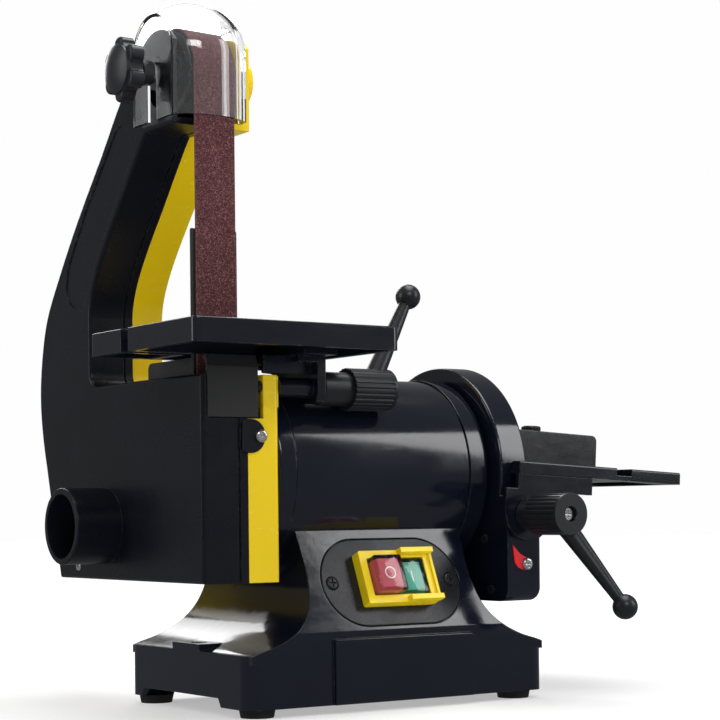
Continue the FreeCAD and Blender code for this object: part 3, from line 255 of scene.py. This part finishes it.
# the edge colours given below are partly edge wear and partly painted highlight; on the black parts they are a light
# grey so the edges look as if they catch light
M["gloss"] = enamel("black_enamel", (0.0036, 0.0050, 0.0115), (0.0056, 0.0074, 0.0155), 0.06, 0.15, edge=0.55, edge_wear_sheen=(0.15, 0.155, 0.165))
M["gloss_tables"] = enamel("black_enamel_tables", (0.0036, 0.0046, 0.0090), (0.0056, 0.0068, 0.0122), 0.13, 0.24, peel=0.30, edge=0.6, edge_wear_sheen=(0.17, 0.175, 0.185), scuff=0.10)
M["motor"] = enamel("black_enamel_motor", (0.0038, 0.0052, 0.0112), (0.0058, 0.0076, 0.0150), 0.08, 0.16, edge=0.45, edge_wear_sheen=(0.14, 0.145, 0.155))
M["cover"] = plastic("black_cover_plastic", (0.0036, 0.0044, 0.0078), (0.0054, 0.0064, 0.0106), 0.26, 0.36, spec=0.24, edge=0.5, edge_wear_sheen=(0.13, 0.135, 0.145), grain=1100, strength=0.22)
M["plastic"] = plastic("black_moulded_plastic", (0.0052, 0.0060, 0.0092), (0.0078, 0.0088, 0.0128), 0.24, 0.36, spec=0.34, grain=1300, strength=0.20)
M["knob"] = plastic("black_knob_plastic", (0.0078, 0.0086, 0.0130), (0.0116, 0.0126, 0.0180), 0.30, 0.42, spec=0.42, grain=1500, strength=0.25)
M["yellow"] = enamel("yellow_enamel", (0.800, 0.560, 0.0018), (0.840, 0.595, 0.0030), 0.20, 0.30, edge=0.22, edge_wear_sheen=(0.45, 0.36, 0.12), peel=0.22)
M["yellow_plastic"] = plastic("yellow_plastic", (0.900, 0.665, 0.0060), (0.930, 0.700, 0.0100), 0.26, 0.36, grain=1500, strength=0.14, edge_wear_sheen=(0.95, 0.75, 0.15))
M["red"] = plastic("red_plastic", (0.430, 0.050, 0.078), (0.490, 0.062, 0.092), 0.28, 0.38, grain=1500, strength=0.10, edge_wear_sheen=(0.7, 0.15, 0.15))
M["green"] = plastic("green_plastic", (0.045, 0.360, 0.260), (0.060, 0.410, 0.300), 0.28, 0.38, grain=1500, strength=0.10, edge_wear_sheen=(0.1, 0.45, 0.32))
M["mark"] = plastic("white_marking", (0.82, 0.82, 0.80), (0.88, 0.88, 0.86), 0.42, 0.52, grain=1500, strength=0.08, edge_wear_sheen=(0.7, 0.7, 0.68))
M["red_paint"] = enamel("red_pointer_enamel", (0.620, 0.006, 0.010), (0.700, 0.010, 0.014), 0.28, 0.38, edge_wear_sheen=(0.4, 0.1, 0.1))
M["rubber"] = plastic("black_rubber", (0.0100, 0.0100, 0.0105), (0.0170, 0.0168, 0.0170), 0.66, 0.80, spec=0.3, grain=800, strength=0.4, edge_wear_sheen=(0.05, 0.05, 0.05))
M["zinc"] = metal("bright_zinc", (0.66, 0.67, 0.69), (0.78, 0.79, 0.81), 0.16, 0.32, brush=(1, 1, 1), scale=1500, strength=0.12)
M["steel"] = metal("turned_steel", (0.44, 0.44, 0.45), (0.56, 0.56, 0.57), 0.24, 0.40, brush=(12, 1, 1), scale=420)
M["bar_steel"] = metal("bright_drawn_steel", (0.46, 0.46, 0.47), (0.58, 0.58, 0.59), 0.24, 0.38, brush=(1, 0.05, 1), scale=900)
M["core"] = metal("stamped_laminations", (0.17, 0.17, 0.175), (0.26, 0.255, 0.25), 0.42, 0.58, brush=(40, 0.2, 0.2), scale=60, strength=0.7)
M["copper"] = metal("enamelled_copper", (0.46, 0.17, 0.07), (0.62, 0.26, 0.11), 0.28, 0.42, brush=(1, 1, 1), scale=700, strength=0.8)
M["aluminium"] = metal("cast_aluminium", (0.48, 0.49, 0.50), (0.62, 0.63, 0.64), 0.30, 0.48, brush=(8, 1, 1), scale=500)
M["black_steel"] = enamel("black_sheet_steel", (0.0110, 0.0112, 0.0125), (0.0165, 0.0168, 0.0180), 0.34, 0.46, peel=0.35, edge_wear_sheen=(0.22, 0.22, 0.22), scuff=0.14)
M["black_screw"] = metal("black_oxide_screw", (0.020, 0.020, 0.022), (0.034, 0.034, 0.037), 0.30, 0.42, scale=1200, metallic=0.65)
M["belt"] = grit("red_brown_abrasive_belt", (0.040, 0.0085, 0.0110), (0.150, 0.0330, 0.0390), (0.400, 0.1700, 0.1760), grain=2000)
M["disc"] = grit("red_brown_abrasive_disc", (0.040, 0.0085, 0.0110), (0.140, 0.0320, 0.0370), (0.370, 0.1560, 0.1620), grain=1850)
M["hood"] = clear("clear_polycarbonate", (0.975, 0.982, 0.990), 0.0, 1.49)
M["cap"] = clear("clear_button_cap", (0.96, 0.97, 0.97), 0.05, 1.38)

LOOK = {
    "base_casting": "gloss", "bottom_plate": "black_steel", "rubber_feet": "rubber", "foot_screws": "zinc", "supply_inlet": "plastic",
    "switch_plate": "plastic", "switch_plate_screws": "black_screw", "switch_bezel": "yellow_plastic", "switch_body": "plastic",
    "stop_button": "red", "start_button": "green", "motor_shell": "motor", "end_bell_left": "motor", "end_bell_right": "motor",
    "stator_core": "core", "stator_windings": "copper", "motor_bearings": "steel", "rotor_shaft": "steel", "rotor_core": "core",
    "drive_wheel": "aluminium", "top_wheel": "plastic", "top_wheel_bearings": "steel", "idler_wheel": "plastic", "idler_bearings": "steel",
    "idler_axle": "steel", "abrasive_belt": "belt", "side_cover": "cover", "arm_frame": "yellow", "cover_screws": "zinc",
    "belt_guard_plate": "black_steel", "platen": "black_steel", "platen_bracket": "black_steel", "platen_bolts": "zinc",
    "tension_bracket": "zinc", "top_axle": "steel", "axle_barrel": "plastic", "tension_spring": "steel", "tracking_knob": "knob",
    "clear_hood": "hood", "belt_table": "gloss_tables", "belt_table_trunnion": "gloss_tables", "trunnion_screws": "black_screw",
    "belt_table_bolt": "black_screw", "belt_table_handle": "knob", "belt_handle_screw": "zinc", "disc_guard": "gloss", "case_screws": "black_screw",
    "disc_plate": "aluminium", "abrasive_disc": "disc", "scale_pointer": "red_paint", "disc_table": "gloss_tables",
    "disc_table_quadrants": "gloss_tables", "disc_table_screws": "zinc", "disc_table_stud": "zinc", "disc_table_pivot_screw": "zinc",
    "disc_table_handle": "knob", "disc_handle_screw": "zinc", "mitre_bar": "bar_steel", "mitre_head": "gloss_tables", "mitre_knob": "knob",
}


def paint(o, key):
    o.data.materials.clear()
    o.data.materials.append(M[key])


for name, o in N.items():
    paint(o, LOOK.get(name, "plastic"))
    o.data.polygons.foreach_set("use_smooth", [True] * len(o.data.polygons))
    o.data.set_sharp_from_angle(angle=math.radians(28))


# ------------------------------------------------------------------ mesh helpers
def obj(name, bm, key, body, smooth=32):
    me = bpy.data.meshes.new(name)
    bmesh.ops.recalc_face_normals(bm, faces=bm.faces)
    bm.to_mesh(me)
    bm.free()
    o = bpy.data.objects.new(name, me)
    bpy.context.scene.collection.objects.link(o)
    me.materials.append(M[key])
    me.polygons.foreach_set("use_smooth", [True] * len(me.polygons))
    me.set_sharp_from_angle(angle=math.radians(smooth))
    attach(o, body)
    return o


def rounded_box(lo, hi, r, seg, mat, r_vert=None):
    """box in local millimetres with rounded edges, placed by mat"""
    bm = bmesh.new()
    bmesh.ops.create_cube(bm, size=1.0)
    lo, hi = Vector(lo), Vector(hi)
    for v in bm.verts:
        v.co = Vector([(lo[i] + hi[i]) / 2 + v.co[i] * (hi[i] - lo[i]) for i in range(3)])
    bmesh.ops.bevel(bm, geom=list(bm.edges), offset=r, segments=seg, profile=0.5, affect="EDGES")
    bm.transform(Matrix.Scale(MM, 4))
    bm.transform(mat)
    return bm


def sweep(profile, path, closed=True):
    """profile (list of 2-D points) carried along a planar closed path of (x, y) points, local millimetres"""
    bm = bmesh.new()
    rings = []
    n = len(path)
    for i in range(n):
        p = Vector((path[i][0], path[i][1]))
        a = Vector((path[(i - 1) % n][0], path[(i - 1) % n][1]))
        b = Vector((path[(i + 1) % n][0], path[(i + 1) % n][1]))
        t = (b - a).normalized()
        nrm = Vector((t.y, -t.x))
        rings.append([bm.verts.new((p.x + nrm.x * u, p.y + nrm.y * u, w)) for u, w in profile])
    m = len(profile)
    for i in range(n if closed else n - 1):
        for j in range(m):
            bm.faces.new((rings[i][j], rings[(i + 1) % n][j], rings[(i + 1) % n][(j + 1) % m], rings[i][(j + 1) % m]))
    return bm


def place(bm, mat):
    bm.transform(Matrix.Scale(MM, 4))
    bm.transform(mat)
    return bm


# ------------------------------------------------------------------ switch buttons
# the switch face leans back; its middle and slope come from the buttons' joint
face_axis = Vector([j for j in frame["joints"] if j["name"] == "stop_press"][0]["axis"])
out_dir = (-face_axis).normalized()
up_dir = Vector((1, 0, 0)).cross(-out_dir).normalized()
if up_dir.z < 0:
    up_dir = -up_dir
FACE_Z = 0.07265
FACE_Y = -0.063897
FACE_X = -0.02743
FACE = Matrix.Translation(Vector((FACE_X, FACE_Y, FACE_Z))) @ Matrix((
    (1, up_dir.x, out_dir.x, 0), (0, up_dir.y, out_dir.y, 0), (0, up_dir.z, out_dir.z, 0), (0, 0, 0, 1)))


def button(tag, node, body, x0, x1, top, colour):
    shell = rounded_box((x0, -10.2, -6.0), (x1, 11.6, top), 1.3, 4, FACE)
    cap = obj(tag + "_clear_cap", shell, "cap", body)
    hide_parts(node)
    core = rounded_box((x0 + 2.3, -8.0, -8.0), (x1 - 2.3, 9.4, top - 1.9), 0.8, 3, FACE)
    obj(tag + "_core", core, colour, body)
    return (x0 + x1) / 2, 0.7, top - 1.9


cx, cy, cz = button("stop", "stop_button", "stop_button", -18.9, 0.3, 14.5, "red")
ringpath = [(cx + 3.3 * math.cos(2 * math.pi * i / 40), cy + 3.3 * math.sin(2 * math.pi * i / 40)) for i in range(40)]
prof = [(-0.38, -0.1), (-0.35, 0.12), (-0.2, 0.2), (0.2, 0.2), (0.35, 0.12), (0.38, -0.1)]
obj("stop_ring_mark", place(sweep([(u, w + cz) for u, w in prof], ringpath), FACE), "mark", "stop_button")
cx, cy, cz = button("start", "start_button", "start_button", 0.9, 20.1, 7.6, "green")
obj("start_bar_mark", rounded_box((cx - 0.4, cy - 3.3, cz - 0.1), (cx + 0.4, cy + 3.3, cz + 0.2), 0.14, 3, FACE), "mark", "start_button")

# ------------------------------------------------------------------ stage
world = bpy.data.worlds.new("studio")
bpy.context.scene.world = world
world.use_nodes = True
wt = world.node_tree
wt.nodes.clear()
wo = wt.nodes.new("ShaderNodeOutputWorld")
wb = wt.nodes.new("ShaderNodeBackground")
wb.inputs["Color"].default_value = (1.0, 1.0, 1.0, 1)
wb.inputs["Strength"].default_value = 0.20
wt.links.new(wb.outputs[0], wo.inputs[0])


def stage_mesh(name, bm):
    me = bpy.data.meshes.new(name)
    bm.to_mesh(me)
    bm.free()
    o = bpy.data.objects.new(name, me)
    bpy.context.scene.collection.objects.link(o)
    me.polygons.foreach_set("use_smooth", [True] * len(me.polygons))
    return o


bm = bmesh.new()
bmesh.ops.create_circle(bm, cap_ends=True, segments=96, radius=7.0)
floor = stage_mesh("studio_floor", bm)
fm = Mat("pale_floor")
fm.link(fm.mix(fm.map(fm.noise(0.7, 3), 0.3, 0.7), (0.60, 0.60, 0.60), (0.62, 0.62, 0.62)), fm.b.inputs["Base Color"])
fm.b.inputs["Roughness"].default_value = 0.75
fm.b.inputs["Specular IOR Level"].default_value = 0.2
fm.b.inputs["Emission Color"].default_value = (1, 1, 1, 1)
away = fm.node("ShaderNodeVectorMath", operation="LENGTH")
fm.link(fm.co, away.inputs[0])
fm.link(fm.map(away.outputs["Value"], 0.30, 1.50, 0.42, 0.93), fm.b.inputs["Emission Strength"])
floor.data.materials.append(fm.m)
floor.visible_glossy = False

bm = bmesh.new()
bmesh.ops.create_uvsphere(bm, u_segments=64, v_segments=32, radius=7.2)
for f in bm.faces:
    f.normal_flip()
dome = stage_mesh("studio_backdrop", bm)
dm = bpy.data.materials.new("pale_backdrop")
dm.use_nodes = True
dm.node_tree.nodes.clear()
do = dm.node_tree.nodes.new("ShaderNodeOutputMaterial")
de = dm.node_tree.nodes.new("ShaderNodeEmission")
de.inputs["Color"].default_value = (0.99, 0.99, 0.99, 1)
de.inputs["Strength"].default_value = 1.0
dm.node_tree.links.new(de.outputs[0], do.inputs[0])
dome.data.materials.append(dm)
dome.visible_diffuse = False
dome.visible_glossy = False
dome.visible_shadow = False
dome.visible_volume_scatter = False


def softbox(name, at, to, w, h, power, color=(1, 1, 1)):
    l = bpy.data.lights.new(name, "AREA")
    l.shape = "RECTANGLE"
    l.size, l.size_y = w, h
    l.energy = power
    l.color = color
    o = bpy.data.objects.new(name, l)
    bpy.context.scene.collection.objects.link(o)
    at, to = Vector(at), Vector(to)
    o.matrix_world = Matrix.Translation(at) @ (to - at).to_track_quat("-Z", "Y").to_matrix().to_4x4()
    return o


softbox("overhead_softbox", (0.15, -0.10, 1.45), (0.0, 0.0, 0.15), 1.2, 0.8, 15)
softbox("left_softbox", (-1.35, 0.45, 0.75), (0.0, 0.0, 0.2), 0.35, 1.2, 6)
softbox("right_softbox", (1.20, -1.15, 0.80), (0.0, 0.0, 0.15), 0.40, 1.1, 8)
softbox("back_softbox", (0.35, 1.35, 0.95), (0.0, 0.0, 0.2), 1.0, 0.7, 9)
softbox("front_softbox", (-0.55, -1.55, 1.05), (0.0, 0.0, 0.2), 0.7, 0.35, 7)

# ------------------------------------------------------------------ camera
cam = bpy.data.cameras.new("camera")
cam_o = bpy.data.objects.new("camera", cam)
bpy.context.scene.collection.objects.link(cam_o)
bpy.context.scene.camera = cam_o
yaw = math.radians(34.266)
roll = math.radians(-0.5887)
fwd = Vector((math.sin(yaw), math.cos(yaw), 0))
rt = Vector((math.cos(yaw), -math.sin(yaw), 0))
up = Vector((0, 0, 1))
r2 = rt * math.cos(roll) + up * math.sin(roll)
u2 = -rt * math.sin(roll) + up * math.cos(roll)
cam_o.matrix_world = Matrix.Translation(Vector((-0.671988, -0.977907, 0.11331))) @ Matrix((
    (r2.x, u2.x, -fwd.x, 0), (r2.y, u2.y, -fwd.y, 0), (r2.z, u2.z, -fwd.z, 0), (0, 0, 0, 1)))
cam.sensor_width = 36.0
cam.sensor_fit = "HORIZONTAL"
cam.lens = 1932.19 / 720 * 36.0
cam.shift_x = 0.0
cam.shift_y = 151.53 / 720
cam.clip_start, cam.clip_end = 0.01, 40.0
cam.dof.use_dof = False
bpy.context.scene.view_settings.view_transform = "Standard"
bpy.context.scene.view_settings.look = "None"
